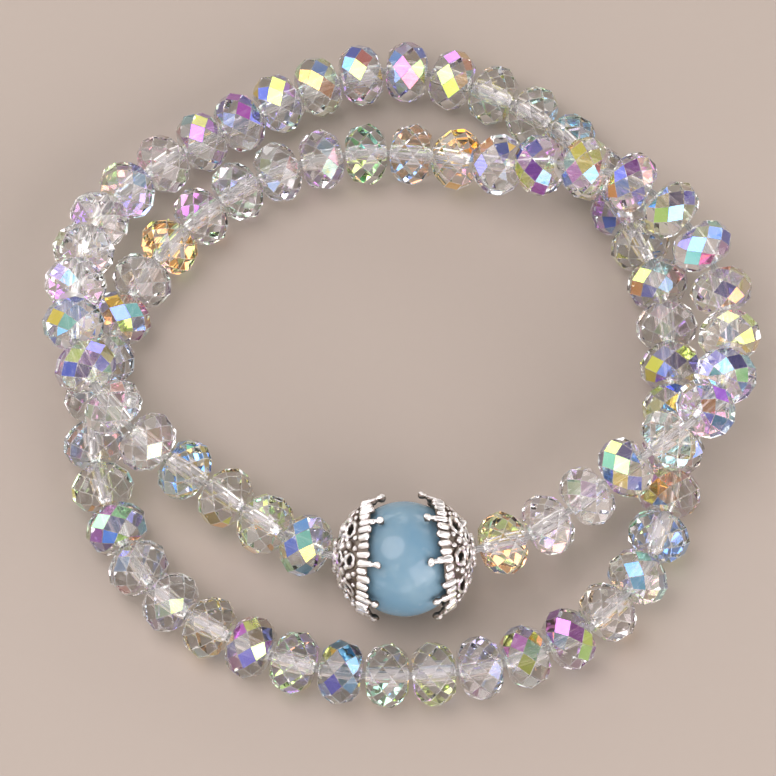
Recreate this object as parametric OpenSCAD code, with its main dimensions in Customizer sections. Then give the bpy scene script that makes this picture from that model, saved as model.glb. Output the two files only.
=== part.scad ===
// Crystal bracelet: one closed elastic thread that goes round the wrist twice. It carries 76 faceted
// glass crystals and one round focal bead, which sits between two openwork flower caps. The bracelet
// lies on a flat surface: Z is up, the surface is Z = 0, and the two turns cross three times.

/* [Crystals] */
// Number of crystals on the thread
crystal_count = 76; // [70:1:76]
// Diameter of a crystal over its widest corners
crystal_d = 6; // [5.6:0.1:6]
// Length of a crystal along its hole
crystal_l = 4; // [3.9:0.05:4]
// Diameter of the hole through a crystal
crystal_hole_d = 1.2; // [1:0.1:1.4]
// Number of facets round a crystal
facets = 8; // [8:1:10]
// Distance from the middle of a crystal to each of its two widest rows of corners
girdle_x = 0.45; // [0.4:0.01:0.5]
// Distance from the middle of a crystal to its shoulder corners
shoulder_x = 1.32; // [1.25:0.01:1.35]
// Distance from the middle of a crystal to its end corners
corner_x = 1.85; // [1.75:0.01:1.88]
// Diameter of the flat that surrounds each end of the hole
end_flat_d = 2.9; // [2.4:0.1:3]

/* [Thread] */
// Thickness of the elastic thread
thread_d = 0.7; // [0.5:0.1:0.8]
// Number of sides of the thread
thread_sides = 8; // [8:1:12]

/* [Focal bead] */
// Diameter of the round focal bead
focal_d = 10.75; // [10:0.05:10.75]
// Diameter of the hole through the focal bead
focal_hole_d = 1.3; // [1:0.1:1.6]
// Length of thread taken up by the focal bead and its caps
focal_section = 14.1; // [14:0.1:14.4]

/* [Bead caps] */
// Distance from the middle of the focal bead to the outer end of a cap
cap_reach = 6.6; // [6.5:0.05:6.6]
// Outer radius of the bowl of a cap
bowl_r = 6.2; // [6.1:0.05:6.3]
// Tilt of the left cap on the focal bead, towards the back
cap_tilt_left = 3; // [0:1:4]
// Tilt of the right cap on the focal bead, towards the back
cap_tilt_right = 8; // [4:1:8]
// Thickness of the bowl
bowl_wall = 0.7; // [0.6:0.05:0.7]
// Distance from the middle of the focal bead to the rim of the bowl
rim_x = 3.3; // [3:0.1:3.4]
// Number of petals on a cap
petals = 8; // [6:1:8]
// Number of raised fingers on a petal
petal_fingers = 5; // [4:1:5]
// Thickness of a raised finger
finger_d = 0.66; // [0.6:0.02:0.7]
// Diameter of the ball at the tip of a petal's long finger
tip_ball_d = 0.8; // [0.7:0.05:0.8]
// Width of the pierced gaps near the hub
inner_gap_d = 1; // [0.8:0.1:1.1]
// Width of the pierced gaps behind the fingers
outer_gap_d = 1.1; // [0.8:0.1:1.1]
// Diameter of the raised balls near the hub
inner_ball_d = 1; // [0.8:0.1:1.1]
// Diameter of the raised balls behind the fingers
outer_ball_d = 0.8; // [0.6:0.1:0.9]

/* [Hidden] */

// Height of the thread where a crystal rests on the surface
rest_z = crystal_d / 2;
// Middle of the focal bead, at the height where the fingers of its caps touch the surface
focal_centre = [0, -20.5, 5.6];
// Points that the thread passes on its two turns, from the right end of the focal section round to its
// left end, each as [x, y, lift]. The lift is the height over where a resting crystal holds the thread,
// and one turn is lifted where it lies over the other.
turn_points = [
    [12, -18, 2], [19, -13, 3.5], [25.5, -9.5, 6.6], [30, -4.5, 5], [31, 2, 2.5], [29.5, 9, 3.5],
    [24, 15, 6], [17, 18, 6.2], [10.5, 19, 3.5], [3.5, 21.5, 0.5], [-3.5, 22, 0], [-12.5, 20, 0],
    [-19.5, 15.5, 0], [-25, 9, 0], [-28.5, 1, 0], [-29.5, -7, 0], [-27.5, -15.5, 0],
    [-23.5, -22.5, 0], [-16, -27.5, 0], [-7.5, -30.5, 0], [1.5, -31, 0], [10.5, -29.5, 0],
    [18.5, -25.5, 0], [24, -17.5, 0], [25.5, -9, 0], [25.5, 0, 0], [24.5, 8.5, 0], [21, 16, 0],
    [16, 23.5, 0], [8.5, 28.5, 0], [-0.5, 31, 0], [-9, 29, 0], [-16.5, 25, 0], [-24, 20.5, 0],
    [-29.5, 14.5, 1.5], [-31, 7.5, 4.5], [-31, 0, 6.2], [-28, -6, 6], [-23, -10, 3],
    [-17, -13.5, 0.5], [-12, -17.5, 1.8]
];
// Length of thread at each end of the focal section that points straight along the focal bead
lead_in = 2;
// Steps of the curve between two route points
curve_steps = 12;
// Distance from the thread at which neighbouring crystals are evenly spaced on the inside of a bend
spacing_r = 1.62;
// Turn of each crystal about the thread, from one crystal to the next
roll_step = 137.5;
// Length by which a hole's cutter is longer than the hole
past = 1;

// The whole route, with a lead-in point inside each end of the focal section. The thread leaves each cap
// along the cap's own axis.
axis_left = [-cos(cap_tilt_left), sin(cap_tilt_left), 0];
axis_right = [cos(cap_tilt_right), sin(cap_tilt_right), 0];
exit_reach = focal_section / 2;
resting = [0, 0, rest_z];
route = concat([for (reach = [exit_reach - lead_in, exit_reach]) focal_centre + reach * axis_right],
               [for (point = turn_points) point + resting],
               [for (reach = [exit_reach, exit_reach - lead_in]) focal_centre + reach * axis_left]);
spans = [for (i = [0:len(route) - 2]) norm(route[i + 1] - route[i])];

function unit(v) = v / norm(v);
// Heading of the curve at route point i, in which the nearer of its two neighbours weighs more
function heading(i) =
    (spans[i] * unit(route[i] - route[i - 1]) + spans[i - 1] * unit(route[i + 1] - route[i]))
    / (spans[i - 1] + spans[i]);
// Point at fraction t of the curve from route point i to the next
function on_curve(i, t) =
    (2 * t * t * t - 3 * t * t + 1) * route[i] + (t * t * t - 2 * t * t + t) * spans[i] * heading(i)
    + (3 * t * t - 2 * t * t * t) * route[i + 1] + (t * t * t - t * t) * spans[i] * heading(i + 1);
// A point of the thread is never lower than a crystal lets it lie
function rested(p) = [p.x, p.y, max(p.z, rest_z)];

curve = [
    for (i = [1:len(route) - 3]) for (k = [0:curve_steps - 1]) rested(on_curve(i, k / curve_steps)),
    route[len(route) - 2]
];
last = len(curve) - 1;
steps = [for (k = [0:last - 1]) curve[k + 1] - curve[k]];
// Turn of the curve, in radians, between step k and the next
function turn(k) =
    k < 0 || k > last - 2 ? 0 : acos(min(1, unit(steps[k]) * unit(steps[k + 1]))) * PI / 180;
// Length of each step, measured on the inside of the bend. The added 0 stands after the last step.
inner = [for (k = [0:last - 1]) norm(steps[k]) - spacing_r * (turn(k - 1) + turn(k)) / 2, 0];
// Length travelled at each point of the curve, and the place of the thread as tables against it
travel = [for (k = 0, s = 0; k <= last; s = s + inner[k], k = k + 1) s];
x_at = [for (k = [0:last]) [travel[k], curve[k].x]];
y_at = [for (k = [0:last]) [travel[k], curve[k].y]];
z_at = [for (k = [0:last]) [travel[k], curve[k].z]];
pitch = travel[last] / crystal_count;
// Joints of the thread: crystal i lies midway between joint i and joint i + 1
joints = [for (i = [0:crystal_count]) [lookup(i * pitch, x_at), lookup(i * pitch, y_at),
                                       lookup(i * pitch, z_at)]];
// First and last crystal of each turn
half_way = floor(crystal_count / 2);
first_turn = [0, half_way - 1];
second_turn = [half_way, crystal_count - 1];

// Radii of the rows of corners. The widest row has the full radius, and the radii of the shoulder and
// end rows are those that keep each four-cornered facet flat.
crystal_r = crystal_d / 2;
flat_ratio = cos(180 / facets);
shoulder_r = crystal_r * flat_ratio
    - (shoulder_x - girdle_x) * crystal_r * (1 - flat_ratio) / (2 * girdle_x);
corner_r = shoulder_r * flat_ratio
    - (corner_x - shoulder_x) * (crystal_r - shoulder_r * flat_ratio) / (shoulder_x - girdle_x);
// Rows of corners from one end to the other, each as [x, radius, half steps of turn]
rows = [
    [-crystal_l / 2, end_flat_d / 2, 1], [-corner_x, corner_r, 1], [-shoulder_x, shoulder_r, 0],
    [-girdle_x, crystal_r, 1], [girdle_x, crystal_r, 0], [shoulder_x, shoulder_r, 1],
    [corner_x, corner_r, 0], [crystal_l / 2, end_flat_d / 2, 0]
];
function row_corner(row, j) =
    let (a = 360 / facets * (j + row[2] / 2)) [row[0], row[1] * cos(a), row[1] * sin(a)];
crystal_corners = [for (row = rows) for (j = [0:facets - 1]) row_corner(row, j)];
// Index of corner j of row r
function corner(r, j) = r * facets + (j + facets) % facets;
// Triangles between row r and the next. A row that is turned half a step meets the next one's corners
// j and j + 1, and one that isn't meets its corners j - 1 and j.
function band(r) =
    let (near = rows[r][2], far = rows[r + 1][2], shift = near == far ? 0 : near)
    [for (j = [0:facets - 1])
        each [[corner(r, j), corner(r + 1, j + shift), corner(r, j + 1)],
              [corner(r, j + 1), corner(r + 1, j + shift), corner(r + 1, j + shift + 1)]]];
last_row = len(rows) - 1;
crystal_faces = concat(
    [[for (j = [0:facets - 1]) corner(0, j)]],
    [for (r = [0:last_row - 1]) each band(r)],
    [[for (j = [facets - 1:-1:0]) corner(last_row, j)]]
);

// One faceted crystal with its hole along X, centred on the origin
module crystal() {
    difference() {
        polyhedron(points = crystal_corners, faces = crystal_faces, convexity = 4);
        rotate([0, 90, 0])
            cylinder(d = crystal_hole_d, h = crystal_l + past, center = true, $fn = 24);
    }
}

// A run of crystals, each centred between its two joints and turned about the thread
module crystal_run(run) {
    for (i = [run[0]:run[1]]) {
        along = unit(joints[i + 1] - joints[i]);
        translate((joints[i] + joints[i + 1]) / 2)
            rotate([roll_step * i % (360 / facets), -asin(along.z), atan2(along.y, along.x)])
                crystal();
    }
}

module crystals_first_turn() {
    color([0.86, 0.91, 0.95]) crystal_run(first_turn);
}

module crystals_second_turn() {
    color([0.90, 0.88, 0.95]) crystal_run(second_turn);
}

// The tilted caps draw the thread towards the back of the focal bead's hole, short of touching it
thread_shift = 0.8 * (focal_hole_d - thread_d) / 2;
// Stops of the thread: its joints, and then the left and the right end of the focal bead's hole
stops = concat(joints, [for (way = [-1, 1]) focal_centre + [way * focal_d / 2, thread_shift, 0]]);
thread_rings = len(stops);
// Points of the ring of the thread round stop i, square to the mean of the two headings there
function thread_ring(i) =
    let (before = stops[(i + thread_rings - 1) % thread_rings],
         after = stops[(i + 1) % thread_rings],
         ahead = unit(unit(after - stops[i]) + unit(stops[i] - before)),
         side = unit(cross([0, 0, 1], ahead)),
         up = cross(ahead, side))
    [for (j = [0:thread_sides - 1])
        let (a = 360 / thread_sides * j)
        stops[i] + thread_d / 2 * (cos(a) * side + sin(a) * up)];
function thread_point(i, j) = (i % thread_rings) * thread_sides + j % thread_sides;

// The thread, one closed loop with a ring at each stop
module elastic_thread() {
    color([0.96, 0.96, 0.94])
        polyhedron(
            points = [for (i = [0:thread_rings - 1]) each thread_ring(i)],
            faces = [for (i = [0:thread_rings - 1]) for (j = [0:thread_sides - 1])
                each [[thread_point(i, j), thread_point(i, j + 1), thread_point(i + 1, j)],
                      [thread_point(i, j + 1), thread_point(i + 1, j + 1), thread_point(i + 1, j)]]],
            convexity = 10);
}

// The focal bead, with its hole along X
module focal_bead() {
    color([0.50, 0.66, 0.75])
        translate(focal_centre) rotate([0, 90, 0])
            difference() {
                sphere(d = focal_d, $fn = 64);
                cylinder(d = focal_hole_d, h = focal_d + past, center = true, $fn = 24);
            }
}

// Turn of the petals about the thread, so that one faces up and to the front
petal_turn = 25;
// Angles between the thread and the gaps and balls, seen from the middle of the focal bead
inner_gap_angle = 20;
outer_gap_angle = 38;
inner_ball_angle = 27;
outer_ball_angle = 37;
// Ends of the fingers as [distance from the thread, height along it]: the root of every finger, and the
// tips of the fingers in turn, from the long one of each petal
finger_root = [4.4, 4.4];
long_tip = [5.47, 2.35];
side_tip = [5.25, 3.2];
middle_tip = [5.33, 3.05];
finger_tips = [long_tip, side_tip, middle_tip, middle_tip, side_tip];
finger_count = petals * petal_fingers;
// Diameter of the hub at the outer end of a cap, and the height at which it leaves the bowl
hub_d = 3;
hub_base = 5.8;
// Diameter of the hole through a cap, wide enough for the thread to pass when the cap tilts
cap_hole_d = 1.9;

// Bowl of a cap: the part of a hollow ball from its rim to the hole along Z
module bowl() {
    rotate_extrude($fn = 64)
        difference() {
            circle(r = bowl_r, $fn = 64);
            circle(r = bowl_r - bowl_wall, $fn = 64);
            translate([cap_hole_d / 2 - 2 * bowl_r, -2 * bowl_r]) square([2 * bowl_r, 4 * bowl_r]);
            translate([0, rim_x - 2 * bowl_r]) square([2 * bowl_r, 2 * bowl_r]);
        }
}

// A straight rod from one [distance, height] to another
module finger(root, tip) {
    run = tip - root;
    translate([root[0], 0, root[1]])
        rotate([0, atan2(run[0], run[1]), 0]) cylinder(d = finger_d, h = norm(run), $fn = 16);
}

// Turns its children away from Z by an angle, once for each petal
module round_the_bowl(angle, offset) {
    for (p = [0:petals - 1]) rotate([0, angle, 360 / petals * (p + offset)]) children();
}

// A cap with the middle of the focal bead at the origin and its hub up along Z
module bead_cap() {
    rotate([0, 0, petal_turn])
        difference() {
            union() {
                bowl();
                translate([0, 0, hub_base]) cylinder(d = hub_d, h = cap_reach - hub_base, $fn = 32);
                for (k = [0:finger_count - 1])
                    rotate([0, 0, 360 / finger_count * k])
                        finger(finger_root, finger_tips[k % petal_fingers]);
                for (p = [0:petals - 1])
                    rotate([0, 0, 360 / petals * p])
                        translate([long_tip[0], 0, long_tip[1]]) sphere(d = tip_ball_d, $fn = 16);
                round_the_bowl(inner_ball_angle, 0.5)
                    translate([0, 0, bowl_r]) sphere(d = inner_ball_d, $fn = 16);
                round_the_bowl(outer_ball_angle, 0.5)
                    translate([0, 0, bowl_r]) sphere(d = outer_ball_d, $fn = 16);
            }
            translate([0, 0, rim_x]) cylinder(d = cap_hole_d, h = cap_reach, $fn = 24);
            round_the_bowl(inner_gap_angle, 0)
                translate([0, 0, rim_x]) cylinder(d = inner_gap_d, h = bowl_r, $fn = 24);
            round_the_bowl(outer_gap_angle, 0)
                translate([0, 0, rim_x]) cylinder(d = outer_gap_d, h = bowl_r, $fn = 24);
        }
}

module bead_cap_left() {
    color([0.80, 0.80, 0.82])
        translate(focal_centre) mirror([1, 0, 0]) rotate([0, 90, cap_tilt_left]) bead_cap();
}

module bead_cap_right() {
    color([0.80, 0.80, 0.82])
        translate(focal_centre) rotate([0, 90, cap_tilt_right]) bead_cap();
}

crystals_first_turn();
crystals_second_turn();
elastic_thread();
focal_bead();
bead_cap_left();
bead_cap_right();
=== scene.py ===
"""Looks of the crystal bracelet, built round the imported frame.

The bracelet is one elastic loop that goes round the wrist twice. It carries faceted glass crystals with a
rainbow coating on one side of each, and a round blue focal bead between two openwork silver caps.
The crystals, the bead and the caps go where the frame's nodes are. Lengths are in metres.
"""
import logging
import random
from dataclasses import dataclass
from enum import Enum
from math import cos, hypot, pi, radians, sin, tan
from typing import Any

import bpy
import numpy as np
from mathutils import Matrix, Vector


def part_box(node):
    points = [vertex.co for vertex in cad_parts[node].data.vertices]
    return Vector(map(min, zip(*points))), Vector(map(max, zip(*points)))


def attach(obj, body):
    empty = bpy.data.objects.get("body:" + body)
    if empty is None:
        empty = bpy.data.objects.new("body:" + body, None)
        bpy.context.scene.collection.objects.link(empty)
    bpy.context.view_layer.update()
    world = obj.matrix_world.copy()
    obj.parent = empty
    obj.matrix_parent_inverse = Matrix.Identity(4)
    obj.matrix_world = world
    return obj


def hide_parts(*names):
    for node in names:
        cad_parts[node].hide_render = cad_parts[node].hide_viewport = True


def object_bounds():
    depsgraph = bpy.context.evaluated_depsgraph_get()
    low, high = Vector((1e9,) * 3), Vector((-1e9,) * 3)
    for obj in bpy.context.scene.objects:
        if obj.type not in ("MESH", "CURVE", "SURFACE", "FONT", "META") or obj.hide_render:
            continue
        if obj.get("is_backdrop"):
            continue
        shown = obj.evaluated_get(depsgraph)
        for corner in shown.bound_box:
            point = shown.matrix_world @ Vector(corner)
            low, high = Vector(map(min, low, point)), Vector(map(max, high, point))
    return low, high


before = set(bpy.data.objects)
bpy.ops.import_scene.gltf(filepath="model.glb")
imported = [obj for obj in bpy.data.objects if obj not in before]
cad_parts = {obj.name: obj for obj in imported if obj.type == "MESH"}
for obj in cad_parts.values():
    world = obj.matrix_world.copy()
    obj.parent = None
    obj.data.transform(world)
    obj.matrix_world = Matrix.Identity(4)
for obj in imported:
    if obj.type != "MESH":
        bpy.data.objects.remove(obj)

LOG = logging.getLogger("bracelet")
MM = 0.001
UP = Vector((0, 0, 1))
ROOT_BODY = "root"
# Attributes of the crystals' faces: the colour that a film mirrors, and the share of the second shader
FACET_TINT = "facet_tint"
FACET_SHARE = "facet_share"
# Attribute of the caps: how deep a place lies in the relief, from 0 to 1, which sets where the silver gets
# painted shade
CAP_RECESS = "cap_recess"
Colour = tuple[float, float, float]
Range = tuple[float, float]
Piece = bpy.types.Object


class Node(Enum):
    """The frame's nodes."""

    FIRST_TURN = "crystals_first_turn"
    SECOND_TURN = "crystals_second_turn"
    THREAD = "elastic_thread"
    FOCAL_BEAD = "focal_bead"
    CAP_LEFT = "bead_cap_left"
    CAP_RIGHT = "bead_cap_right"


class Side(Enum):
    """The two sides of the focal bead, by the sign of X."""

    LEFT = -1
    RIGHT = 1


class Slot(Enum):
    """The record's material slots."""

    CRYSTAL = "crystal_glass"
    ELASTIC = "clear_elastic"
    STONE = "blue_stone"
    SILVER = "silver_metal"


@dataclass(frozen=True)
class Wire:
    """An output socket of a material's tree that Python's operators work on."""

    graph: "Graph"
    socket: bpy.types.NodeSocket

    def __add__(self, other: "Value") -> "Wire":
        """The sum."""
        return self.graph.math("ADD", self, other)

    def __sub__(self, other: "Value") -> "Wire":
        """The difference."""
        return self.graph.math("SUBTRACT", self, other)

    def __rsub__(self, other: "Value") -> "Wire":
        """The difference, with the number first."""
        return self.graph.math("SUBTRACT", other, self)

    def __mul__(self, other: "Value") -> "Wire":
        """The product."""
        return self.graph.math("MULTIPLY", self, other)

    __radd__ = __add__
    __rmul__ = __mul__

    def between(self, low: float, high: float) -> "Wire":
        """A smooth step, 0 below the low value and 1 above the high one."""
        inputs = {"Value": self, "From Min": low, "From Max": high}
        return self.graph.out("ShaderNodeMapRange", "Result", inputs, interpolation_type="SMOOTHSTEP")


Value = Wire | float


class Graph:
    """The node tree of one material or world."""

    def __init__(self, owner: bpy.types.Material | bpy.types.World) -> None:
        """Empties the owner's tree.

        Args:
            owner: The material or world whose tree this is.
        """
        owner.use_nodes = True
        self.tree = owner.node_tree
        self.tree.nodes.clear()

    def node(self, kind: str, inputs: dict[Any, Any], **settings: Any) -> bpy.types.Node:
        """Adds a node.

        Args:
            kind: The node's type.
            inputs: Values or wires for its sockets, by name or number. A colour is given as three numbers.
            settings: The node's own settings, which are set first.

        Returns:
            The node.
        """
        made = self.tree.nodes.new(kind)
        for name, value in settings.items():
            setattr(made, name, value)
        for name, value in inputs.items():
            socket = made.inputs[name]
            if isinstance(value, Wire):
                self.tree.links.new(value.socket, socket)
            else:
                socket.default_value = (*value, 1) if socket.type == "RGBA" else value
        return made

    def out(self, kind: str, output: str | int, inputs: dict[Any, Any], **settings: Any) -> Wire:
        """Adds a node as node() does, and takes one of its outputs by name or number."""
        return Wire(self, self.node(kind, inputs, **settings).outputs[output])

    def math(self, operation: str, first: Value, second: Value) -> Wire:
        """One step of arithmetic on two values."""
        return self.out("ShaderNodeMath", "Value", {0: first, 1: second}, operation=operation)

    def noise(self, size: float, detail: float = 3.0, where: Wire | None = None) -> Wire:
        """Cloudy noise from 0 to 1, with clouds of a size, on Object coordinates or on others."""
        point = where or self.out("ShaderNodeTexCoord", "Object", {})
        return self.out("ShaderNodeTexNoise", "Fac", {"Vector": point, "Scale": 1 / size, "Detail": detail})

    def mix(self, factor: Wire, first: Wire | Colour, second: Wire | Colour) -> Wire:
        """A mix of two colours through the node's colour sockets, 0 for the first one."""
        return self.out("ShaderNodeMix", 2, {0: factor, 6: first, 7: second}, data_type="RGBA")

    def attribute(self, name: str, output: str) -> Wire:
        """An attribute of the mesh, as its Color or its Fac."""
        return self.out("ShaderNodeAttribute", output, {}, attribute_name=name)

    def blend(self, first: Wire, second: Wire) -> Wire:
        """A mix of two shaders by each face's share of the second one."""
        share = self.attribute(FACET_SHARE, "Fac")
        return self.out("ShaderNodeMixShader", "Shader", {0: share, 1: first, 2: second})

    def principled(self, inputs: dict[str, Any]) -> Wire:
        """A Principled surface."""
        return self.out("ShaderNodeBsdfPrincipled", "BSDF", inputs)


class Finish:
    """A material that is made once and shared."""

    title: str = ""

    def build(self, graph: Graph) -> Wire:
        """Builds the surface shader in the material's empty tree."""
        raise NotImplementedError

    def material(self) -> bpy.types.Material:
        """The material, made at its first use.

        Returns:
            The material.
        """
        found = bpy.data.materials.get(self.title)
        if found is None:
            found = bpy.data.materials.new(self.title)
            graph = Graph(found)
            graph.node("ShaderNodeOutputMaterial", {"Surface": self.build(graph)})
        return found


@dataclass(frozen=True)
class ClearGlass(Finish):
    """The uncoated facets of a crystal: polished glass with a faint haze from handling."""

    title: str = "crystal_clear_glass"
    tint: Colour = (0.99, 0.985, 0.995)
    ior: float = 1.56
    haze_size: float = 1.4 * MM
    haze_edges: Range = (0.45, 0.8)
    haze: float = 0.02

    def build(self, graph: Graph) -> Wire:
        """Builds the glass."""
        haze = graph.noise(self.haze_size).between(*self.haze_edges) * self.haze
        return graph.principled(
            {"Base Color": self.tint, "Roughness": haze, "IOR": self.ior, "Transmission Weight": 1.0})


@dataclass(frozen=True)
class RainbowCoat(Finish):
    """The coated facets of a crystal: a half-mirror film over the glass, coloured by interference."""

    title: str = "crystal_rainbow_coat"
    glass: Colour = (0.98, 0.98, 1.0)
    ior: float = 1.56
    film_ior: float = 2.1
    film_thickness_nm: float = 420.0
    coat_ior: float = 1.9
    streak_size: float = 0.9 * MM
    streak: float = 0.05

    def build(self, graph: Graph) -> Wire:
        """Mixes filmed glass and a coloured mirror by the facet's own share.

        Args:
            graph: The material's empty tree.

        Returns:
            The surface shader.
        """
        body = graph.principled({
            "Base Color": self.glass, "Roughness": 0.0, "IOR": self.ior, "Transmission Weight": 1.0,
            "Thin Film Thickness": self.film_thickness_nm, "Thin Film IOR": self.film_ior,
        })
        mirror = graph.principled({
            "Base Color": graph.attribute(FACET_TINT, "Color"), "Metallic": 1.0,
            "Roughness": graph.noise(self.streak_size) * self.streak,
            "Coat Weight": 1.0, "Coat IOR": self.coat_ior,
        })
        return graph.blend(body, mirror)


@dataclass(frozen=True)
class GroundGlass(Finish):
    """Glass that the drill or wear has left matt: the walls of the holes, and the edges between facets."""

    title: str = "crystal_ground_glass"
    tint: Colour = (0.985, 0.965, 0.955)
    frost: Colour = (0.95, 0.935, 0.93)
    scratch_size: float = 0.25 * MM
    scratch: float = 0.2
    hazy_roughness: float = 0.05
    frosted_roughness: float = 0.3

    def build(self, graph: Graph) -> Wire:
        """Mixes hazy glass and white frost by the face's own share.

        Args:
            graph: The material's empty tree.

        Returns:
            The surface shader.
        """
        scratches = graph.noise(self.scratch_size) * self.scratch
        hazy = graph.principled({
            "Base Color": self.tint, "Roughness": scratches + self.hazy_roughness, "IOR": 1.5,
            "Transmission Weight": 1.0,
        })
        frosted = graph.principled({
            "Base Color": self.frost, "Roughness": scratches + self.frosted_roughness,
            "Transmission Weight": 0.5,
        })
        return graph.blend(hazy, frosted)


@dataclass(frozen=True)
class ClearElastic(Finish):
    """The strands of the elastic thread: milky and slightly see-through."""

    title: str = "elastic_strands"
    milky: Colour = (0.93, 0.925, 0.92)
    clear: Colour = (0.86, 0.84, 0.82)
    cloud_size: float = 0.5 * MM
    satin: float = 0.15
    wear: float = 0.2

    def build(self, graph: Graph) -> Wire:
        """Builds the elastic."""
        cloud = graph.noise(self.cloud_size)
        return graph.principled({
            "Base Color": graph.mix(cloud, self.milky, self.clear),
            "Roughness": cloud * self.wear + self.satin, "IOR": 1.45, "Transmission Weight": 0.6,
        })


@dataclass(frozen=True)
class BlueStone(Finish):
    """The focal bead: a milky, slightly see-through blue with soft clouds and a few pale wisps."""

    title: str = "focal_blue_stone"
    deep: Colour = (0.139, 0.26, 0.35)
    milky: Colour = (0.198, 0.315, 0.385)
    pale: Colour = (0.28, 0.38, 0.435)
    cloud_size: float = 5.0 * MM
    cloud_edges: Range = (0.30, 0.70)
    wisp_size: float = 1.6 * MM
    wisp_edges: Range = (0.58, 0.74)
    wisp_strength: float = 0.35
    speckle_size: float = 0.5 * MM
    speckle: float = 0.05
    polish: float = 0.10
    scatter: Colour = (0.8, 1.1, 1.5)
    scatter_depth: float = 1.2 * MM

    def build(self, graph: Graph) -> Wire:
        """Builds polished stone.

        Args:
            graph: The material's empty tree.

        Returns:
            The surface shader.
        """
        clouds = graph.noise(self.cloud_size).between(*self.cloud_edges)
        wisps = graph.noise(self.wisp_size, 5.0).between(*self.wisp_edges) * self.wisp_strength
        return graph.principled({
            "Base Color": graph.mix(wisps, graph.mix(clouds, self.deep, self.milky), self.pale),
            "Roughness": graph.noise(self.speckle_size) * self.speckle + self.polish,
            "IOR": 1.40, "Subsurface Weight": 0.3, "Subsurface Radius": self.scatter,
            "Subsurface Scale": self.scatter_depth,
        })


@dataclass(frozen=True)
class SilverPlate(Finish):
    """The caps: bright plated casting, duller in its recesses, with painted shade darkening them and random
    grime.
    """

    title: str = "cap_silver_plate"
    bright: Colour = (0.95, 0.917, 0.9)
    shade_and_grime_colour: Colour = (0.215, 0.178, 0.15)
    grime_size: float = 0.4 * MM
    grime: float = 0.9
    grime_level: float = 0.4
    shade_and_grime_edges: Range = (0.15, 0.8)
    plate_roughness: float = 0.30
    shade_and_grime_roughness: float = 0.1
    pit_size: float = 0.5 * MM
    pit_depth: float = 0.06 * MM

    def build(self, graph: Graph) -> Wire:
        """Builds plated metal that is darkened with painted shade where the casting is recessed, and with
        random grime.

        Args:
            graph: The material's empty tree.

        Returns:
            The surface shader.
        """
        grime = graph.noise(self.grime_size) * self.grime
        recessed = graph.attribute(CAP_RECESS, "Fac")
        # Painted shade: the recesses, the bowl below the hub and the undersides of the raised work are
        # darkened, mixed with random grime
        shade_and_grime = (recessed + grime - self.grime_level).between(*self.shade_and_grime_edges)
        pits = {"Height": graph.noise(self.pit_size, 1.0), "Strength": 0.35, "Distance": self.pit_depth}
        return graph.principled({
            "Base Color": graph.mix(shade_and_grime, self.bright, self.shade_and_grime_colour), "Metallic": 1.0,
            "Roughness": shade_and_grime * self.shade_and_grime_roughness + self.plate_roughness,
            "Normal": graph.out("ShaderNodeBump", "Normal", pits),
        })


@dataclass(frozen=True)
class PaleFloor(Finish):
    """The plain floor under the bracelet: matt paper."""

    title: str = "floor_paper"
    shade: Colour = (0.395, 0.345, 0.295)
    fibre: Colour = (0.32, 0.28, 0.24)
    fibre_size: float = 0.8 * MM
    fibre_strength: float = 0.08

    def build(self, graph: Graph) -> Wire:
        """Builds the paper."""
        colour = graph.mix(graph.noise(self.fibre_size) * self.fibre_strength, self.shade, self.fibre)
        return graph.principled({"Base Color": colour, "Roughness": 0.75, "Specular IOR Level": 0.2})


def active() -> Piece:
    """The active object, which a primitive is when it has just been added."""
    return bpy.context.view_layer.objects.active


def sphere(radius: float, segments: int, rings: int) -> Piece:
    """Adds a ball round the origin."""
    bpy.ops.mesh.primitive_uv_sphere_add(segments=segments, ring_count=rings, radius=radius)
    return active()


def cylinder(radius: float, depth: float, sides: int, height: float = 0.0) -> Piece:
    """Adds a cylinder along Z whose middle is at a height."""
    bpy.ops.mesh.primitive_cylinder_add(vertices=sides, radius=radius, depth=depth, location=(0, 0, height))
    return active()


def add_object(name: str, data: bpy.types.ID) -> Piece:
    """Adds an object to the scene.

    Args:
        name: The object's name.
        data: Its mesh, curve, light or camera.

    Returns:
        The object.
    """
    made = bpy.data.objects.new(name, data)
    bpy.context.scene.collection.objects.link(made)
    return made


def pick(piece: Piece, *more: Piece) -> None:
    """Selects these pieces only, and makes the first one active.

    Args:
        piece: The piece to make active.
        more: Other pieces to select.
    """
    bpy.ops.object.select_all(action="DESELECT")
    for each in (piece, *more):
        each.select_set(True)
    bpy.context.view_layer.objects.active = piece


def apply_modifier(piece: Piece, kind: str, **settings: Any) -> None:
    """Adds a modifier and applies it.

    Args:
        piece: The piece.
        kind: The modifier's type.
        settings: The modifier's settings.
    """
    pick(piece)
    bpy.ops.object.modifier_add(type=kind)
    modifier = piece.modifiers[-1]
    for name, value in settings.items():
        setattr(modifier, name, value)
    bpy.ops.object.modifier_apply(modifier=modifier.name)


def boolean(piece: Piece, tool: Piece, operation: str = "DIFFERENCE") -> None:
    """Cuts a tool out of a piece, or unites it with the piece, and removes the tool."""
    apply_modifier(piece, "BOOLEAN", operation=operation, solver="EXACT", object=tool)
    bpy.data.objects.remove(tool)


def break_edges(piece: Piece, width: float, segments: int, over_deg: float) -> None:
    """Bevels the edges of a piece at which its faces turn by more than an angle."""
    apply_modifier(piece, "BEVEL", width=width, segments=segments, limit_method="ANGLE",
                   angle_limit=radians(over_deg))


def join(pieces: list[Piece], name: str) -> Piece:
    """Joins pieces into the first one.

    Args:
        pieces: The pieces.
        name: The joined piece's name.

    Returns:
        The joined piece.
    """
    pick(*pieces)
    bpy.ops.object.join()
    joined = active()
    joined.name = joined.data.name = name
    return joined


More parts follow.
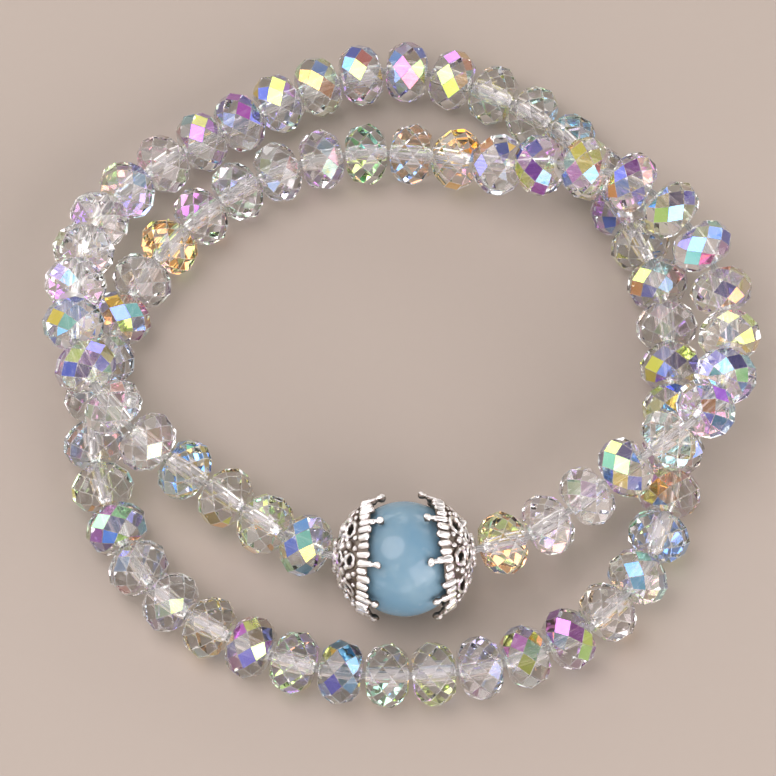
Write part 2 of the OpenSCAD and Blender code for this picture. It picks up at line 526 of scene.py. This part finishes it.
def settle(piece: Piece) -> None:
    """Moves a piece's place into its mesh, so that its object sits at the origin."""
    pick(piece)
    bpy.ops.object.transform_apply(location=True, rotation=True, scale=True)


def spin(angle_deg: float, axis: str) -> Matrix:
    """A turn about an axis."""
    return Matrix.Rotation(radians(angle_deg), 4, axis)


def copy_of(master: Piece, matrix: Matrix) -> Piece:
    """A copy of a piece, with its own mesh and its place in it.

    Args:
        master: The piece to copy.
        matrix: The place of the copy.

    Returns:
        The copy.
    """
    made = add_object("copy", master.data.copy())
    made.data.transform(matrix)
    return made


def hand_over(piece: Piece, slot: Slot, node: Node) -> None:
    """Lets a finished piece stand for a node of the frame, and reports it.

    Args:
        piece: The piece.
        slot: The record's slot for the piece; not used.
        node: The node that it replaces.
    """
    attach(piece, ROOT_BODY)
    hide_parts(node.value)
    triangles = sum(len(face.vertices) - 2 for face in piece.data.polygons)
    LOG.info("%s: %d triangles", piece.name, triangles)


def loose_solids(node: Node) -> list[np.ndarray]:
    """Finds the separate solids of a node.

    Args:
        node: The node.

    Returns:
        The corners of each solid.
    """
    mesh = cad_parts[node.value].data
    corners = np.array([v.co for v in mesh.vertices])
    merged = np.round(corners / (0.001 * MM))
    _, first, number = np.unique(merged, axis=0, return_index=True, return_inverse=True)
    faces = number.reshape(-1)[np.array([face.vertices[:] for face in mesh.polygons])]
    # Every corner takes the lowest number among its faces' corners, until each solid has one number
    solid = np.arange(len(first))
    while (solid[faces] != (lowest := solid[faces].min(axis=1, keepdims=True))).any():
        np.minimum.at(solid, faces, lowest)
    return [corners[first[solid == each]] for each in np.unique(solid)]


@dataclass
class Place:
    """Where one crystal sits: its middle, its heading along the thread, and a corner of its girdle."""

    middle: Vector
    heading: Vector
    corner: Vector

    @classmethod
    def of_solid(cls, corners: np.ndarray) -> "Place":
        """Finds the place of a crystal.

        Args:
            corners: The crystal's corners.

        Returns:
            Its place. The heading's sign isn't settled yet.
        """
        middle = corners.mean(axis=0)
        spread, axes = np.linalg.eigh(np.cov((corners - middle).T))
        heading = axes[:, 0 if spread[1] - spread[0] > spread[2] - spread[1] else 2]
        along = (corners - middle) @ heading
        across = corners - middle - np.outer(along, heading)
        reach = np.linalg.norm(across, axis=1) * (along > 0)
        corner = Vector(across[reach.argmax()])
        return cls(Vector(middle), Vector(heading).normalized(), corner.normalized())

    def measure(self, corners: np.ndarray) -> tuple[float, float]:
        """Measures the crystal.

        Args:
            corners: The crystal's corners.

        Returns:
            Its radius and half its length.
        """
        offsets, heading = corners - np.array(self.middle), np.array(self.heading)
        along = offsets @ heading
        across = offsets - np.outer(along, heading)
        return float(np.linalg.norm(across, axis=1).max()), float(np.abs(along).max())

    def end(self, way: int, reach: float) -> Vector:
        """The point at a distance along the hole, 1 for forwards and -1 for backwards."""
        return self.middle + self.heading * (way * reach)

    def matrix(self) -> Matrix:
        """The turn and move that bring a crystal from the origin, hole along Z, to its place."""
        turn = Matrix((self.corner, self.heading.cross(self.corner), self.heading)).transposed()
        return Matrix.Translation(self.middle) @ turn.to_4x4()


def in_order(node: Node, start: Vector, half_length: float) -> list[Place]:
    """Finds a node's crystals in order along the thread, and points their headings along it.

    Args:
        node: The node.
        start: Where its string starts.
        half_length: Half a crystal's length.

    Returns:
        The places in order.
    """
    left, ordered, reached = [Place.of_solid(corners) for corners in loose_solids(node)], [], start
    while left:
        gap = {(i, way): (place.end(-way, half_length) - reached).length
               for i, place in enumerate(left) for way in (1, -1)}
        index, way = min(gap, key=gap.get)
        place = left.pop(index)
        if way < 0:
            place.heading = -place.heading
        reached = place.end(1, half_length)
        ordered.append(place)
    return ordered


class Facet(Enum):
    """The kinds of face on a crystal, by material slot."""

    CLEAR = 0
    COATED = 1
    HOLE = 2
    EDGE = 3


@dataclass
class Rondelle:
    """One faceted crystal, modelled with its hole along Z."""

    radius: float
    half_length: float
    facets: int = 8
    girdle: float = 0.45 * MM
    shoulder: float = 1.32 * MM
    end_row: float = 1.85 * MM
    end_flat_r: float = 1.45 * MM
    bore_r: float = 0.6 * MM
    bore_sides: int = 16
    worn_edge: float = 0.03 * MM
    worn_over_deg: float = 14.0
    # How far out a face of the bore may be, in bore radii, and how wide one of an edge, in worn edges
    bore_margin: float = 1.02
    edge_margin: float = 2.5

    def rows(self) -> list[tuple[float, float, int]]:
        """The rows of corners.

        Returns:
            Each row's height, radius, and turn in half steps.
        """
        flat = cos(pi / self.facets)
        rise = self.shoulder - self.girdle
        shoulder_r = self.radius * flat - rise * self.radius * (1 - flat) / (2 * self.girdle)
        slope = (self.radius - shoulder_r * flat) / rise
        end_r = shoulder_r * flat - (self.end_row - self.shoulder) * slope
        upper = [(self.girdle, self.radius, 0), (self.shoulder, shoulder_r, 1), (self.end_row, end_r, 0),
                 (self.half_length, self.end_flat_r, 0)]
        return upper + [(-height, radius, 1 - turn) for height, radius, turn in upper]

    def model(self) -> Piece:
        """Models the crystal.

        Returns:
            The crystal, with a drilled hole and slightly worn edges.
        """
        for k, (height, radius, turn) in enumerate(self.rows()):
            bpy.ops.mesh.primitive_circle_add(
                vertices=self.facets, radius=radius, location=(0, 0, height),
                rotation=(0, 0, turn * pi / self.facets))
            if k == 0:
                crystal = active()
                settle(crystal)
                bpy.ops.object.mode_set(mode="EDIT")
        bpy.ops.mesh.select_all(action="SELECT")
        bpy.ops.mesh.convex_hull(join_triangles=False)
        bpy.ops.mesh.dissolve_limited(angle_limit=radians(1))
        bpy.ops.object.mode_set(mode="OBJECT")
        boolean(crystal, cylinder(self.bore_r, 3 * self.half_length, self.bore_sides))
        break_edges(crystal, self.worn_edge, segments=1, over_deg=self.worn_over_deg)
        self.sort_faces(crystal)
        return crystal

    def sort_faces(self, crystal: Piece) -> None:
        """Gives the crystal its materials, and tells its facets from its hole and its worn edges.

        Args:
            crystal: The crystal, with its hole along Z.
        """
        for finish in (ClearGlass(), RainbowCoat(), GroundGlass(), GroundGlass()):
            crystal.data.materials.append(finish.material())
        for face in crystal.data.polygons:
            away = hypot(face.center.x, face.center.y)
            corners = [crystal.data.vertices[v].co for v in face.vertices]
            sides = [(corners[k] - corners[k - 1]).length for k in range(len(corners))]
            if away < self.bore_r * self.bore_margin:
                kind = Facet.HOLE
            elif min(sides) < self.edge_margin * self.worn_edge:
                kind = Facet.EDGE
            else:
                kind = Facet.CLEAR
            face.material_index = kind.value


class CoatedSide(Enum):
    """Where the coated side of a crystal is turned, by the letter that stands for it."""

    UP = "U"
    OUTWARDS = "O"
    INWARDS = "I"
    FRONT = "F"
    UNDER = "D"
    HARDLY = "n"

    def direction(self, place: Place, centre: Vector) -> Vector:
        """The way that the coated side of a crystal faces.

        Args:
            place: The crystal's place.
            centre: The middle of the bracelet.

        Returns:
            The direction.
        """
        up = (UP - place.heading * place.heading.z).normalized()
        away = Vector((place.middle.x - centre.x, place.middle.y - centre.y, 0))
        away = (away - place.heading * away.dot(place.heading)).normalized()
        turned = {
            CoatedSide.UP: up, CoatedSide.OUTWARDS: up * 0.8 + away * 0.6,
            CoatedSide.INWARDS: up * 0.8 - away * 0.6, CoatedSide.FRONT: up * 0.6 + Vector((0, -0.8, 0)),
            CoatedSide.UNDER: away * 0.3 - up, CoatedSide.HARDLY: away * 0.8 - up * 0.6,
        }
        return turned[self]


@dataclass
class RainbowFilm:
    """The coating of the crystals, on one side of each.

    A film's path is the extra way of the light in it, and its share is how much of the light it mirrors.
    """

    chance: random.Random
    wavelengths_nm: Colour = (620.0, 540.0, 450.0)
    dimmest: float = 0.05
    brightness: float = 0.9
    contrast: float = 1.5
    # Blues and yellows are common, and greens and pinks are rare
    hue_spots: tuple[float, ...] = (0.0, 0.45, 0.52, 0.80, 0.86, 1.0)
    paths_nm: tuple[float, ...] = (540.0, 735.0, 830.0, 955.0, 1042.0, 1088.0)
    hue_wander: float = 0.4
    facing_wander: float = 0.2
    covers_above: float = 0.36
    bare_chance: float = 0.30
    film_shares: Range = (0.2, 1.1)
    greatest_share: float = 0.9
    # A film that is seen from below, through its crystal
    sparkle_chance: float = 0.45
    warm_chance: float = 0.7
    warm_paths_nm: Range = (800.0, 945.0)
    cool_paths_nm: Range = (660.0, 780.0)
    sparkle_shares: Range = (0.5, 1.0)
    vividness: Range = (0.6, 1.0)
    # A trace of film on the other side
    overspray_chance: float = 0.3
    overspray_shares: Range = (0.04, 0.24)
    # Frost left by the drill and by wear
    hole_frost: tuple[float, ...] = (0.0, 0.1, 0.45)
    edge_frost: float = 0.45
    coated_edge_frost: float = 0.10

    def tint(self, path_nm: float) -> Colour:
        """The colour that a film mirrors."""
        waves = [0.5 - 0.5 * cos(2 * pi * path_nm / w) for w in self.wavelengths_nm]
        return tuple(self.dimmest + self.brightness * w ** self.contrast for w in waves)

    def path(self, spot: float) -> float:
        """The path in the film at a spot in the range of hues."""
        return float(np.interp(spot, self.hue_spots, self.paths_nm))

    def film_on(self, side: CoatedSide, outward: float, spot: float, vivid: float) -> Range | None:
        """Decides whether a facet carries the film.

        Args:
            side: Where the crystal's coated side is turned.
            outward: How far the facet faces that way, from -1 to 1.
            spot: The crystal's own hue in the range of hues, from 0 to 1.
            vivid: How strong the film is on a crystal that shows it from below, from 0 to 1.

        Returns:
            The film's path and its share, or None for a bare facet.
        """
        chance = self.chance
        covered = side is not CoatedSide.HARDLY and outward > self.covers_above
        if side is CoatedSide.UNDER:
            if outward > 0 and chance.random() < self.sparkle_chance:
                paths = self.warm_paths_nm if chance.random() < self.warm_chance else self.cool_paths_nm
                return chance.uniform(*paths), vivid * chance.uniform(*self.sparkle_shares)
            if outward < 0:
                return None
        elif covered and chance.random() > self.bare_chance:
            spot = (spot + chance.uniform(-self.hue_wander, self.hue_wander)) % 1
            share = (0.5 + 0.5 * outward) * chance.uniform(*self.film_shares)
            return self.path(spot), min(self.greatest_share, share)
        if chance.random() < self.overspray_chance:
            return self.path(chance.random()), chance.uniform(*self.overspray_shares)
        return None

    def dress(self, crystal: Piece, place: Place, side: CoatedSide, centre: Vector) -> None:
        """Gives every face of a crystal its material, its share and its colour.

        Args:
            crystal: The crystal, in place, with its facets, hole and edges told apart by material.
            place: Its place.
            side: Where its coated side is turned.
            centre: The middle of the bracelet.
        """
        chance, wander = self.chance, self.facing_wander
        facing = side.direction(place, centre) + Vector([chance.uniform(-wander, wander) for _ in range(3)])
        facing.normalize()
        spot, vivid = chance.random(), chance.uniform(*self.vividness)
        mesh = crystal.data
        tints = mesh.color_attributes.new(FACET_TINT, "FLOAT_COLOR", "CORNER")
        shares = mesh.attributes.new(FACET_SHARE, "FLOAT", "FACE")
        for face in mesh.polygons:
            tint, share = (1.0, 1.0, 1.0), 0.0
            outward = face.normal.dot(facing)
            if face.material_index == Facet.HOLE.value:
                share = chance.choice(self.hole_frost)
            elif face.material_index == Facet.EDGE.value:
                share = self.coated_edge_frost if outward > self.covers_above else self.edge_frost
            else:
                film = self.film_on(side, outward, spot, vivid)
                if film is not None:
                    face.material_index = Facet.COATED.value
                    tint, share = self.tint(film[0]), film[1]
            shares.data[face.index].value = share
            for loop in face.loop_indices:
                tints.data[loop].color = (*tint, 1)


@dataclass
class CrystalString:
    """The crystals of both turns, placed as the frame has them.

    The letters tell where each crystal's coated side is turned, in order along the thread.
    """

    seed: int = 76
    coated_sides: str = ("DnnUDOOOOUIIUIODDDnnnDDnUnnnDUnnDUDUDD"
                         "nIUDODInIUnIDInDDDUUUOOOOnOnnnOUnnDDDF")

    def build(self) -> list[Place]:
        """Builds both turns.

        Returns:
            The places of the crystals, in order along the thread.
        """
        corners = loose_solids(Node.FIRST_TURN)[0]
        radius, half_length = Place.of_solid(corners).measure(corners)
        master = Rondelle(radius, half_length).model()
        film = RainbowFilm(random.Random(self.seed))
        low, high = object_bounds()
        centre = (Vector(low) + Vector(high)) / 2
        low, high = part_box(Node.FOCAL_BEAD.value)
        _, right_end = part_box(Node.CAP_RIGHT.value)
        reached = Vector((right_end.x, (low.y + high.y) / 2, (low.z + high.z) / 2))
        sides, places = iter(self.coated_sides), []
        for node in (Node.FIRST_TURN, Node.SECOND_TURN):
            run = in_order(node, reached, half_length)
            reached = run[-1].end(1, half_length)
            copies = [copy_of(master, place.matrix()) for place in run]
            for crystal, place in zip(copies, run):
                film.dress(crystal, place, CoatedSide(next(sides)), centre)
            hand_over(join(copies, f"{node.value}_glass"), Slot.CRYSTAL, node)
            places += run
        bpy.data.objects.remove(master)
        return places


@dataclass
class ElasticThread:
    """The thread: a bundle of fine strands through all the holes, closed through the focal bead."""

    strand_r: float = 0.125 * MM
    bundle_r: float = 0.235 * MM
    outer_strands: int = 6
    twists: int = 10
    # How far from a crystal's middle the route passes its hole, and meets the next crystal
    hole_reach: float = 1.6 * MM
    joint_reach: float = 2.0 * MM
    exit_reach: float = 6.9 * MM
    exit_tilts_deg: Range = (3.0, 8.0)
    hole_shift: float = 0.2 * MM

    def route(self, places: list[Place]) -> list[Vector]:
        """The points that the middle of the bundle passes.

        Args:
            places: The crystals' places in order.

        Returns:
            The points, closed from the last to the first.
        """
        route = []
        for before, place in zip([None, *places], places):
            if before is not None:
                route.append((before.end(1, self.joint_reach) + place.end(-1, self.joint_reach)) / 2)
            route += [place.end(-1, self.hole_reach), place.middle.copy(), place.end(1, self.hole_reach)]
        low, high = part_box(Node.FOCAL_BEAD.value)
        centre, half = (low + high) / 2, (high.x - low.x) / 2
        inside = [centre + Vector((reach, self.hole_shift, 0)) for reach in (-half, 0.0, half)]
        left, right = (
            centre + Vector((side.value * cos(radians(tilt)), sin(radians(tilt)), 0)) * self.exit_reach
            for side, tilt in zip(Side, self.exit_tilts_deg))
        return [*route, left, *inside, right]

    def build(self, places: list[Place]) -> None:
        """Builds the bundle: one strand in the middle, and the others wound round it.

        Args:
            places: The crystals' places in order.
        """
        route = self.route(places)
        count = len(route)
        curve = bpy.data.curves.new("thread_strands", "CURVE")
        curve.dimensions = "3D"
        curve.bevel_depth = self.strand_r
        curve.bevel_resolution = 1
        for strand in range(self.outer_strands + 1):
            spline = curve.splines.new("POLY")
            spline.points.add(count - 1)
            spline.use_cyclic_u = True
            for k, point in enumerate(route):
                ahead = (route[(k + 1) % count] - route[k - 1]).normalized()
                side = UP.cross(ahead).normalized()
                up = ahead.cross(side)
                angle = 2 * pi * (strand / self.outer_strands + self.twists * k / count)
                reach = self.bundle_r if strand < self.outer_strands else 0.0
                place = point + side * (cos(angle) * reach) + up * (sin(angle) * reach)
                spline.points[k].co = (*place, 1)
        pick(add_object("elastic_thread_strands", curve))
        bpy.ops.object.convert(target="MESH")
        thread = active()
        thread.data.materials.append(ClearElastic().material())
        bpy.ops.object.shade_smooth()
        hand_over(thread, Slot.ELASTIC, Node.THREAD)


@dataclass
class FocalBead:
    """The round blue bead."""

    bore_r: float = 0.65 * MM
    worn_edge: float = 0.12 * MM
    sharp_over_deg: float = 40.0

    def build(self) -> None:
        """Builds the bead with its hole along X."""
        low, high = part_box(Node.FOCAL_BEAD.value)
        centre, radius = (low + high) / 2, (high.z - low.z) / 2
        bead = sphere(radius, segments=96, rings=64)
        boolean(bead, cylinder(self.bore_r, 3 * radius, sides=48))
        break_edges(bead, self.worn_edge, segments=3, over_deg=self.sharp_over_deg)
        bead.data.transform(Matrix.Translation(centre) @ spin(90, "Y"))
        pick(bead)
        bpy.ops.object.shade_smooth_by_angle(angle=radians(self.sharp_over_deg))
        bead.name = bead.data.name = "focal_bead_stone"
        bead.data.materials.append(BlueStone().material())
        hand_over(bead, Slot.STONE, Node.FOCAL_BEAD)


@dataclass
class BeadCap:
    """An openwork flower cap, modelled with its hub up along Z round the middle of the focal bead.

    A place on the bowl is an angle from Z in degrees, and a grain's second number is its turn in petals.
    A spread is the greatest share by which cast copies of one form differ.
    """

    side: Side
    tilt_deg: float
    bowl_r: float = 6.2 * MM
    wall: float = 0.7 * MM
    rim_z: float = 3.3 * MM
    hub_r: float = 1.35 * MM
    hub_z: float = 6.6 * MM
    hub_edge: float = 0.12 * MM
    hub_grains: int = 12
    hole_r: float = 0.95 * MM
    hole_edge: float = 0.06 * MM
    # Heights against the hub's top below which the bowl is deep and gets the full painted shade, and above
    # which it stands free
    bowl_depths: Range = (-0.45 * MM, 0.15 * MM)
    petals: int = 8
    petal_turn_deg: float = 25.0
    finger_r: float = 0.35 * MM
    neck_r: float = 0.22 * MM
    finger_root: Range = (4.80 * MM, 3.93 * MM)
    finger_tips: tuple[Range, ...] = (
        (5.47 * MM, 2.35 * MM), (5.25 * MM, 3.2 * MM), (5.33 * MM, 3.05 * MM),
        (5.33 * MM, 3.05 * MM), (5.25 * MM, 3.2 * MM))
    # The same two heights for a finger, in its own radii over its middle: its side towards the bowl gets
    # painted shade
    finger_depths: Range = (-0.1, 0.6)
    tip_ball_r: float = 0.38 * MM
    # How much of a long finger's end is thin, in radii of its ball
    tip_neck: float = 1.25
    inner_gap: Range = (20.0, 0.5 * MM)
    outer_gap: Range = (38.0, 0.55 * MM)
    inner_ball: Range = (27.0, 0.5 * MM)
    outer_ball: Range = (37.0, 0.4 * MM)
    ring_r: float = 0.22 * MM
    ring_offset: float = 0.7
    grain_r: float = 0.3 * MM
    grains: tuple[Range, ...] = ((28.5, 0.0), (33.0, 0.27), (33.0, -0.27), (44.0, 0.33), (44.0, -0.33))
    bar_spread: float = 0.13
    bar_length_spreads: tuple[float, ...] = (0.08, 0.25, 0.25, 0.25, 0.25)
    relief_spread: float = 0.15
    spread_shift: float = 0.3
    casting_lump: float = 0.5 * MM
    casting_depth: float = 0.3 * MM
    smooth_under_deg: float = 35.0
    seed: int = 8

    def __post_init__(self) -> None:
        """Seeds the unevenness of the casting."""
        self.chance = random.Random(self.seed + self.side.value)

    def on_bowl(self, angle_deg: float, turn_deg: float) -> Matrix:
        """The move to an angle from the hub and a turn about it, with Z square to the bowl."""
        return spin(turn_deg, "Z") @ spin(angle_deg, "Y") @ Matrix.Translation((0, 0, self.bowl_r))

    def bowl(self) -> Piece:
        """Models the bowl: a hollow ball cut off at the rim, with the hub and the pierced gaps.

        Returns:
            The bowl.
        """
        bowl = sphere(self.bowl_r, segments=96, rings=64)
        apply_modifier(bowl, "SOLIDIFY", thickness=self.wall, offset=-1, use_even_offset=True)
        bpy.ops.mesh.primitive_cube_add(size=4 * self.bowl_r, location=(0, 0, self.rim_z - 2 * self.bowl_r))
        below = active()
        settle(below)
        boolean(bowl, below)
        base = self.bowl_r - self.wall / 2
        hub = cylinder(self.hub_r, self.hub_z - base, sides=48, height=(self.hub_z + base) / 2)
        settle(hub)
        break_edges(hub, self.hub_edge, segments=2, over_deg=60)
        boolean(bowl, hub, "UNION")
        holes = [(radius, self.on_bowl(angle, 360 / self.petals * petal))
                 for angle, radius in (self.inner_gap, self.outer_gap) for petal in range(self.petals)]
        drills = []
        for radius, place in (*holes, (self.hole_r, self.on_bowl(0, 0))):
            drills.append(cylinder(radius, 4 * self.wall, sides=24))
            drills[-1].data.transform(place)
        boolean(bowl, join(drills, "cap_drill"))
        break_edges(bowl, self.hole_edge, segments=2, over_deg=50)
        low, high = self.bowl_depths
        self.mark_depth(bowl, UP, self.hub_z + low, self.hub_z + high)
        return bowl

    @staticmethod
    def mark_depth(piece: Piece, outwards: Vector, low: float, high: float) -> None:
        """Stores how deep each corner of a piece lies in the relief, for the silver's painted shade.

        Args:
            piece: The piece.
            outwards: The way out of the relief.
            low: The height along that way at which a corner lies deep.
            high: The height at which it stands free.
        """
        depths = piece.data.attributes.new(CAP_RECESS, "FLOAT", "POINT")
        for vertex in piece.data.vertices:
            depth = (high - vertex.co.dot(outwards)) / (high - low)
            depths.data[vertex.index].value = min(1.0, max(0.0, depth))

    def ball(self, radius: float, length: float = 0.0) -> Piece:
        """Models a ball, or a bar with round ends along Z from the origin.

        Args:
            radius: The radius.
            length: The distance between the middles of the bar's two ends.

        Returns:
            The ball or bar.
        """
        bar = sphere(radius, segments=16, rings=10)
        if length > 0:
            mesh = bar.data
            for vertex in mesh.vertices:
                vertex.select = vertex.co.z > radius * 0.05
            for part in (*mesh.edges, *mesh.polygons):
                part.select = all(mesh.vertices[v].select for v in part.vertices)
            bpy.ops.object.mode_set(mode="EDIT")
            bpy.ops.transform.translate(value=(0, 0, length))
            bpy.ops.object.mode_set(mode="OBJECT")
        return bar

    def ring(self, gap_r: float) -> Piece:
        """Models the raised ring round a pierced gap."""
        bpy.ops.mesh.primitive_torus_add(
            major_segments=24, minor_segments=8, minor_radius=self.ring_r,
            major_radius=gap_r + self.ring_r * self.ring_offset)
        return active()

    def fingers(self) -> list[Piece]:
        """Models the raised fingers round the rim, and the ball at the tip of each long one.

        Returns:
            The fingers and balls.
        """
        root = Vector((self.finger_root[0], 0, self.finger_root[1]))
        masters = []
        for (tip_r, tip_z), spread in zip(self.finger_tips, self.bar_length_spreads):
            run = Vector((tip_r, 0, tip_z)) - root
            if masters:
                parts = [self.ball(self.finger_r, run.length - self.finger_r)]
            else:
                end = self.ball(self.tip_ball_r)
                end.data.transform(Matrix.Translation((0, 0, run.length)))
                thick = run.length - self.tip_neck * self.tip_ball_r - self.finger_r
                parts = [self.ball(self.finger_r, thick), self.ball(self.neck_r, run.length), end]
            bar = join(parts, "finger_master")
            place = Matrix.Translation(root) @ run.to_track_quat("Z", "Y").to_matrix().to_4x4()
            outwards = place.to_3x3().inverted() @ Vector((-run.z, 0, run.x)).normalized()
            self.mark_depth(bar, outwards, *(depth * self.finger_r for depth in self.finger_depths))
            masters.append((bar, place, spread))
        return self.ring_of(masters, self.petals * len(masters), self.bar_spread)

    def relief(self) -> list[Piece]:
        """Models the raised work between the hub and the fingers.

        Returns:
            The rings round the gaps, the balls and grains between them, and the grains round the hub.
        """
        wanted = [(self.ring(radius), angle, 0.0) for angle, radius in (self.inner_gap, self.outer_gap)]
        wanted += [(self.ball(radius), angle, 0.5) for angle, radius in (self.inner_ball, self.outer_ball)]
        wanted += [(self.ball(self.grain_r), angle, offset) for angle, offset in self.grains]
        pieces, spread = [], self.relief_spread
        for master, angle, offset in wanted:
            # The lower part of each raised piece, next to the bowl, gets painted shade
            self.mark_depth(master, UP, 0.0, master.dimensions.z / 2)
            place = self.on_bowl(angle, 360 / self.petals * offset)
            pieces += self.ring_of([(master, place, spread)], self.petals, spread)
        grain = self.ball(self.grain_r)
        self.mark_depth(grain, UP, -self.grain_r, self.grain_r)
        edge = Matrix.Translation((self.hub_r, 0, self.hub_z - self.grain_r))
        return pieces + self.ring_of([(grain, edge, spread)], self.hub_grains, spread)

    def ring_of(self, masters: list[tuple[Piece, Matrix, float]], count: int, spread: float) -> list[Piece]:
        """Copies pieces in turn round the hub, each copy cast a little differently, and removes them.

        Args:
            masters: The pieces, each with the place of its first copy and the spread of its length.
            count: How many copies there are in all.
            spread: The spread of the widths, the turn and the shift.

        Returns:
            The copies.
        """
        chance, shift, copies = self.chance, self.spread_shift, []
        for k in range(count):
            master, place, along = masters[k % len(masters)]
            stretch = [1 + chance.uniform(-most, most) for most in (spread, spread, along)]
            moved = Vector([chance.uniform(-shift, shift) * spread * MM for _ in range(3)])
            uneven = (Matrix.Translation(moved) @ Matrix.Rotation(chance.uniform(-spread, spread), 4, "X")
                      @ Matrix.Diagonal((*stretch, 1)))
            copies.append(copy_of(master, spin(360 * k / count, "Z") @ place @ uneven))
        for master, _, _ in masters:
            bpy.data.objects.remove(master)
        return copies

    def build(self) -> None:
        """Builds the cap, as uneven as a small casting, and puts it on the focal bead."""
        node = Node[f"CAP_{self.side.name}"]
        cap = join([self.bowl(), *self.fingers(), *self.relief()], f"{node.value}_silver")
        cloud = bpy.data.textures.new("casting", "CLOUDS")
        cloud.noise_scale = self.casting_lump
        apply_modifier(cap, "DISPLACE", texture=cloud, texture_coords="LOCAL", strength=self.casting_depth)
        low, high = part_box(Node.FOCAL_BEAD.value)
        place = Matrix.Translation((low + high) / 2) @ Matrix.Scale(self.side.value, 4, (1, 0, 0))
        turn = spin(self.tilt_deg, "Z") @ spin(90, "Y") @ spin(self.petal_turn_deg, "Z")
        cap.data.transform(place @ turn)
        cap.data.materials.append(SilverPlate().material())
        pick(cap)
        if self.side is Side.LEFT:
            bpy.ops.object.mode_set(mode="EDIT")
            bpy.ops.mesh.select_all(action="SELECT")
            bpy.ops.mesh.flip_normals()
            bpy.ops.object.mode_set(mode="OBJECT")
        bpy.ops.object.shade_smooth_by_angle(angle=radians(self.smooth_under_deg))
        hand_over(cap, Slot.SILVER, node)


@dataclass(frozen=True)
class Camera:
    """The photograph's view: from the front, high above the bracelet."""

    elevation_deg: float = 69.0
    distance: float = 0.365
    target: tuple[float, float, float] = (-0.0015, -0.0025, 0.003)
    pixels_per_mm: float = 10.5
    frame_px: int = 776
    sensor_mm: float = 36.0
    clip: Range = (0.01, 20.0)

    def build(self) -> None:
        """Places the camera and makes it the scene's."""
        data = bpy.data.cameras.new("camera")
        data.sensor_width = self.sensor_mm
        data.lens = self.sensor_mm * self.pixels_per_mm * self.distance / MM / self.frame_px
        data.clip_start, data.clip_end = self.clip
        camera = add_object("camera", data)
        elevation = radians(self.elevation_deg)
        back = Vector((0, -cos(elevation), sin(elevation)))
        camera.location = Vector(self.target) + back * self.distance
        camera.rotation_euler = (pi / 2 - elevation, 0, 0)
        bpy.context.scene.camera = camera


class Lamp(Enum):
    """The forms of a soft light."""

    ROUND = "DISK"
    SQUARE = "SQUARE"


@dataclass(frozen=True)
class SoftBox:
    """A large soft light that points at the bracelet."""

    name: str
    shape: Lamp
    towards: tuple[float, float, float]
    width_deg: float
    radiance: float
    colour: Colour = (1.0, 0.91, 0.96)
    distance: float = 0.6

    def build(self) -> None:
        """Places the light."""
        size = 2 * self.distance * tan(radians(self.width_deg / 2))
        area = size * size * (pi / 4 if self.shape is Lamp.ROUND else 1)
        data = bpy.data.lights.new(self.name, "AREA")
        data.shape, data.size = self.shape.value, size
        data.energy = self.radiance * pi * area
        data.color = self.colour
        light = add_object(self.name, data)
        direction = Vector(self.towards).normalized()
        light.location = direction * self.distance
        light.rotation_euler = direction.to_track_quat("Z", "Y").to_euler()


@dataclass(frozen=True)
class Studio:
    """The floor, the lights and the room: bright walls low down, which light the crystals' rims."""

    floor_side: float = 8.0
    floor_z: float = -0.02 * MM
    lights: tuple[SoftBox, ...] = (
        SoftBox("overhead_light", Lamp.ROUND, (-0.374, 0.071, 0.926), 46, 3.8),
        SoftBox("front_right_light", Lamp.SQUARE, (0.55, -0.642, 0.533), 40, 3.5),
    )
    wall_heights: Range = (0.25, 0.75)
    patch_size: float = 0.28
    patch_edges: Range = (0.50, 0.58)
    wall_light: float = 0.5
    wall_patch_light: float = 1.7
    room_light: float = 0.34
    room_patch_light: float = 0.3
    warm: Colour = (1.0, 0.96, 0.92)
    cool: Colour = (1.0, 0.98, 0.98)

    def build(self) -> None:
        """Builds the floor, the lights and the room, and sets the render's look."""
        bpy.ops.mesh.primitive_plane_add(size=self.floor_side, location=(0, 0, self.floor_z))
        floor = active()
        settle(floor)
        floor.name = "floor"
        floor.data.materials.append(PaleFloor().material())
        floor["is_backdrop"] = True
        for light in self.lights:
            light.build()
        self.room()
        scene = bpy.context.scene
        scene.view_settings.view_transform = "Standard"
        scene.cycles.max_bounces = 18
        scene.cycles.transmission_bounces = 16
        scene.cycles.glossy_bounces = 8
        scene.cycles.diffuse_bounces = 3
        scene.cycles.sample_clamp_indirect = 6.0
        scene.cycles.blur_glossy = 0.3

    def room(self) -> None:
        """Builds the room as the scene's world."""
        world = bpy.data.worlds.new("room")
        bpy.context.scene.world = world
        graph = Graph(world)
        direction = graph.out("ShaderNodeTexCoord", "Generated", {})
        height = graph.out("ShaderNodeSeparateXYZ", "Z", {"Vector": direction})
        walls = 1.0 - height.between(*self.wall_heights)
        patches = graph.noise(self.patch_size, 1.0, direction).between(*self.patch_edges)
        lightness = (walls * (patches * self.wall_patch_light + self.wall_light)
                     + patches * self.room_patch_light + self.room_light)
        inputs = {"Color": graph.mix(patches, self.warm, self.cool), "Strength": lightness}
        back = graph.out("ShaderNodeBackground", "Background", inputs)
        graph.node("ShaderNodeOutputWorld", {"Surface": back})


def main() -> None:
    """Builds the bracelet's looks and its studio, and notes the sizes."""
    logging.basicConfig(level=logging.INFO, format="%(name)s: %(message)s")
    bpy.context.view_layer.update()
    Camera().build()
    ElasticThread().build(CrystalString().build())
    FocalBead().build()
    BeadCap(Side.LEFT, tilt_deg=3.0).build()
    BeadCap(Side.RIGHT, tilt_deg=8.0).build()
    Studio().build()


if __name__ == "__main__":
    main()
